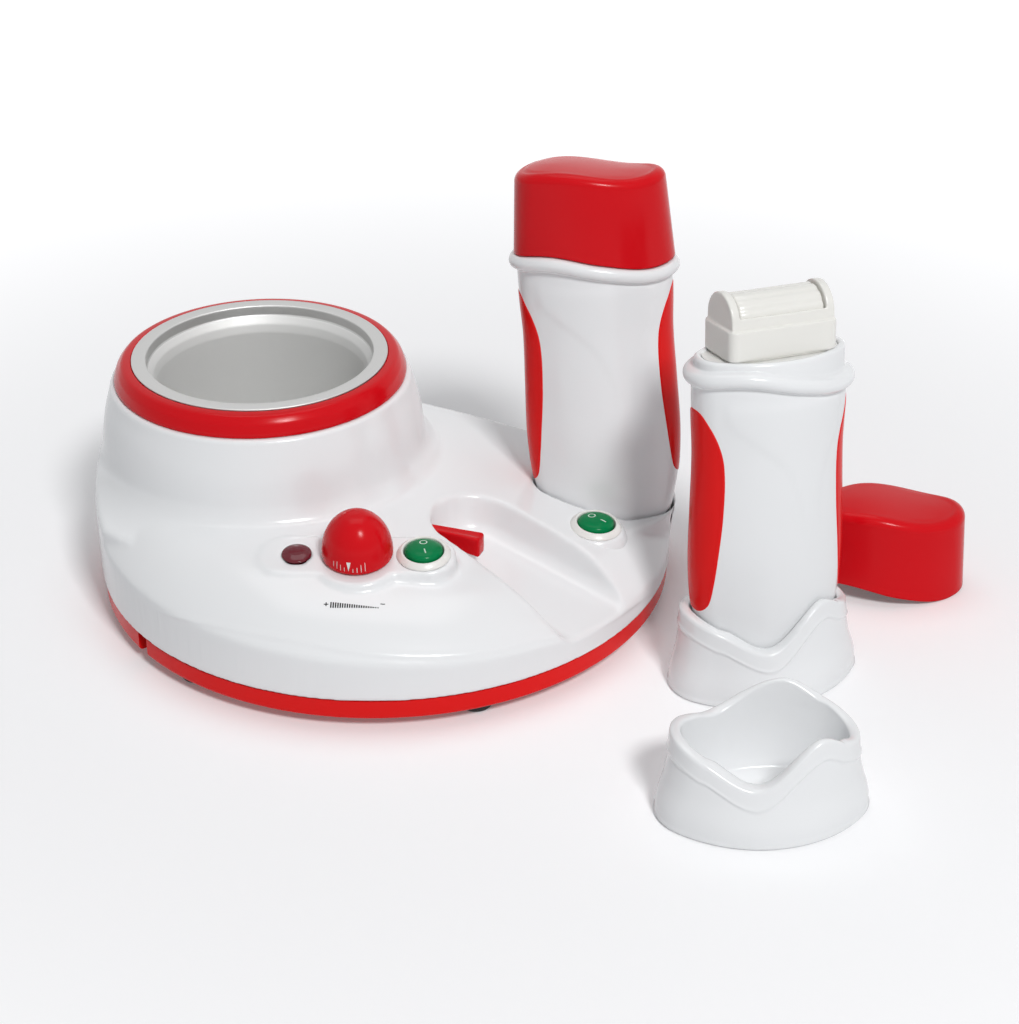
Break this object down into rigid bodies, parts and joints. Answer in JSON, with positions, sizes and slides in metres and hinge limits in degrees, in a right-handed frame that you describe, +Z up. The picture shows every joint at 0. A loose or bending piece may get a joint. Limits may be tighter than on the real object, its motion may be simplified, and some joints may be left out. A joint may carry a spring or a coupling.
{
  "type": "wax warmer",
  "caption": "Round-bodied wax warmer with a heated well, control pad with knob and round rocker switches, docked roll-on handpiece, second handpiece in a cradle, spare cradle and loose cap.",
  "frame": {"origin": "on the table, under the middle of everything that stands there: base unit, both cradles and the loose cap", "axes": "+X to the user's right, +Y away from the user towards the rear wall with the mains inlet, +Z up"},
  "size_m": [0.4558, 0.3412, 0.2249],
  "materials": {
    "white_plastic": "glossy moulded ABS",
    "red_plastic": "glossy moulded ABS",
    "dark_red_lens": "glossy translucent",
    "lamp_glass": "clear",
    "black_rubber": "matt",
    "black_plastic": "fine satin",
    "green_plastic": "glossy translucent",
    "cream_plastic": "satin",
    "roller_plastic": "satin",
    "wax_bottle": "translucent satin",
    "aluminium": "satin spun",
    "steel": "plated",
    "brass": "plain",
    "fibre": "felted fibre"
  },
  "bodies": {
    "base_unit": {"upper_shell": "white_plastic", "bottom_pan": "red_plastic", "pan_screws": "steel", "rubber_feet": "black_rubber", "pot_ring": "red_plastic", "well": "aluminium", "heater_band": "steel", "insulation": "fibre", "pot_bracket": "steel", "thermal_cutout": "steel", "thermostat_body": "black_plastic", "indicator_lens": "dark_red_lens", "indicator_lamp": "lamp_glass", "bezel_1": "cream_plastic", "bezel_2": "cream_plastic", "tongue_pin": "steel", "contact_block": "black_plastic", "contact_pins": "brass", "power_inlet": "black_plastic", "inlet_pins": "brass", "terminal_block": "cream_plastic"},
    "knob": {"knob": "red_plastic", "thermostat_shaft": "steel"},
    "rocker_1": {"rocker_1": "green_plastic"},
    "rocker_2": {"rocker_2": "green_plastic"},
    "tongue": {"tongue": "red_plastic"},
    "handpiece_1": {"grip_shell_1": "white_plastic", "grip_inserts_1": "red_plastic", "grip_base_1": "black_plastic", "grip_contacts_1": "brass", "heating_liner_1": "aluminium", "cartridge_1": "wax_bottle", "roller_head_1": "cream_plastic"},
    "roller_1": {"roller_1": "roller_plastic"},
    "cap_1": {"cap_1": "red_plastic"},
    "cradle_2": {"cradle_2": "white_plastic"},
    "handpiece_2": {"grip_shell_2": "white_plastic", "grip_inserts_2": "red_plastic", "grip_base_2": "black_plastic", "grip_contacts_2": "brass", "heating_liner_2": "aluminium"},
    "cartridge_2": {"cartridge_2": "wax_bottle", "roller_head_2": "cream_plastic"},
    "roller_2": {"roller_2": "roller_plastic"},
    "cradle_1": {"cradle_1": "white_plastic"},
    "cap_2": {"cap_2": "red_plastic"}
  },
  "joints": [
    {"name": "knob_turn", "type": "hinge", "parent": "base_unit", "child": "knob", "pos_m": [-0.0865, -0.0243, 0.0645], "axis": [0, -0.1392, 0.9903], "range_deg": [-135, 135]},
    {"name": "rocker_1_press", "type": "hinge", "parent": "base_unit", "child": "rocker_1", "pos_m": [-0.0545, -0.02395, 0.06202], "axis": [1, 0, 0], "range_deg": [0, 12]},
    {"name": "rocker_2_press", "type": "hinge", "parent": "base_unit", "child": "rocker_2", "pos_m": [0.03079, 0.02912, 0.04692], "axis": [0.7314, 0.682, 0], "range_deg": [0, 12]},
    {"name": "tongue_swing", "type": "hinge", "parent": "base_unit", "child": "tongue", "pos_m": [-0.054, 0.0152, 0.0535], "axis": [0, 0, 1], "range_deg": [-10, 20]},
    {"name": "handpiece_1_lift", "type": "slide", "parent": "base_unit", "child": "handpiece_1", "axis": [-0.0694, 0.1045, 0.9921], "range_m": [0, 0.06]},
    {"name": "cap_1_lift", "type": "slide", "parent": "handpiece_1", "child": "cap_1", "axis": [-0.0694, 0.1045, 0.9921], "range_m": [0, 0.05]},
    {"name": "roller_1_spin", "type": "hinge", "parent": "handpiece_1", "child": "roller_1", "pos_m": [0.02755, 0.08431, 0.20229], "axis": [0.9976, 0, 0.0698], "continuous": true},
    {"name": "cradle_2_lift", "type": "slide", "parent": "base_unit", "child": "cradle_2", "axis": [0, 0, 1], "range_m": [0, 0.08]},
    {"name": "handpiece_2_lift", "type": "slide", "parent": "cradle_2", "child": "handpiece_2", "axis": [-0.0239, 0.1251, 0.9919], "range_m": [0, 0.06]},
    {"name": "cartridge_2_slide", "type": "slide", "parent": "handpiece_2", "child": "cartridge_2", "axis": [-0.0239, 0.1251, 0.9919], "range_m": [0, 0.15]},
    {"name": "roller_2_spin", "type": "hinge", "parent": "cartridge_2", "child": "roller_2", "pos_m": [0.10814, -0.0056, 0.18385], "axis": [0.9333, 0.3583, -0.0227], "continuous": true},
    {"name": "cradle_1_lift", "type": "slide", "parent": "base_unit", "child": "cradle_1", "axis": [0, 0, 1], "range_m": [0, 0.08]},
    {"name": "cap_2_lift", "type": "slide", "parent": "base_unit", "child": "cap_2", "axis": [0, 0, 1], "range_m": [0, 0.08]}
  ]
}
